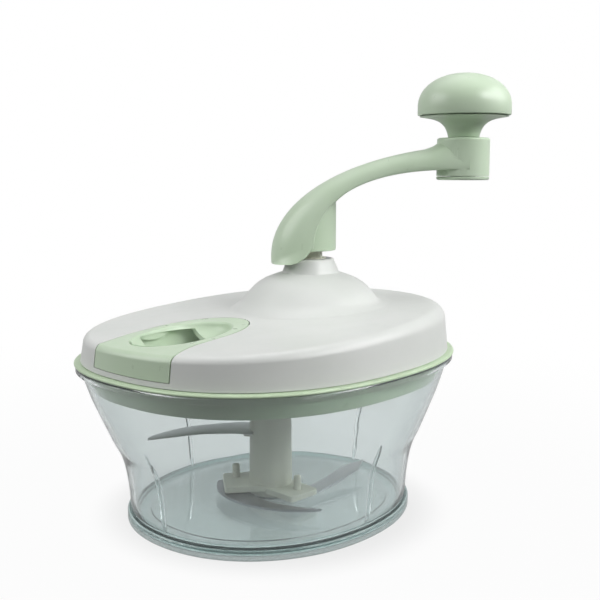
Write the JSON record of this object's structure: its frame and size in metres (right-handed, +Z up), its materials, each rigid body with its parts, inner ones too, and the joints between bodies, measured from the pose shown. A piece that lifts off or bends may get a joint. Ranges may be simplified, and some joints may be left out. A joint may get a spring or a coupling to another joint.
{
  "type": "manual food chopper",
  "caption": "Hand-cranked food chopper: clear oval bowl, green and white lid with egg separator, and a cranked knob that spins three blades.",
  "frame": {"origin": "centre of the non-slip base's underside, on the axis that the blades turn about", "axes": "+Z up along the blade axis, +X along the bowl's long side from the egg separator towards the crank"},
  "size_m": [0.2039, 0.1752, 0.2262],
  "materials": {
    "green_plastic": "moulded pastel green, satin gloss",
    "white_plastic": "moulded white, satin gloss",
    "ivory_plastic": "moulded ivory, satin",
    "clear_plastic": "clear moulded plastic with a faint blue tint",
    "clear_rubber": "clear soft non-slip ring",
    "blade_steel": "ground stainless steel",
    "pin_steel": "plain turned steel"
  },
  "bodies": {
    "bowl_body": {"bowl": "clear_plastic", "non_slip_base": "clear_rubber", "pivot_pin": "pin_steel"},
    "lid": {"under_lid": "green_plastic", "lid_cover": "white_plastic", "crank_bush": "pin_steel", "spindle_bush": "pin_steel", "gear_washer": "pin_steel", "lid_screw_1": "pin_steel", "lid_screw_2": "pin_steel", "lid_screw_3": "pin_steel", "lid_screw_4": "pin_steel"},
    "separator": {"egg_separator": "green_plastic"},
    "crank": {"crank_shaft": "ivory_plastic", "drive_gear": "ivory_plastic", "crank_arm": "green_plastic", "hub_plug": "green_plastic", "knob_pin": "pin_steel", "knob_clip": "pin_steel"},
    "knob": {"knob_stem": "green_plastic", "knob_cap": "green_plastic"},
    "spindle": {"drive_spindle": "ivory_plastic", "pinion": "ivory_plastic", "pinion_clip": "pin_steel"},
    "blades": {"blade_post": "ivory_plastic", "blade_upper": "blade_steel", "blade_serrated": "blade_steel", "blade_crescent": "blade_steel", "blade_peg_left": "ivory_plastic", "blade_peg_right": "ivory_plastic"}
  },
  "joints": [
    {"name": "lid_lift", "type": "slide", "parent": "bowl_body", "child": "lid", "axis": [0, 0, 1], "range_m": [0, 0.08]},
    {"name": "separator_lift", "type": "slide", "parent": "lid", "child": "separator", "axis": [0, 0, 1], "range_m": [0, 0.04]},
    {"name": "crank_turn", "type": "hinge", "parent": "lid", "child": "crank", "pos_m": [0.032, 0, 0.129], "axis": [0, 0, 1], "continuous": true},
    {"name": "knob_spin", "type": "hinge", "parent": "crank", "child": "knob", "pos_m": [0.07976, -0.06455, 0.1934], "axis": [0, 0, 1], "continuous": true},
    {"name": "spindle_turn", "type": "hinge", "parent": "lid", "child": "spindle", "pos_m": [0, 0, 0.088], "axis": [0, 0, 1], "continuous": true},
    {"name": "blade_spin", "type": "hinge", "parent": "bowl_body", "child": "blades", "pos_m": [0, 0, 0.02], "axis": [0, 0, 1], "continuous": true}
  ],
  "couplings": [
    {"joint": "spindle_turn", "follows": "crank_turn", "ratio": -3},
    {"joint": "blade_spin", "follows": "crank_turn", "ratio": -3}
  ]
}
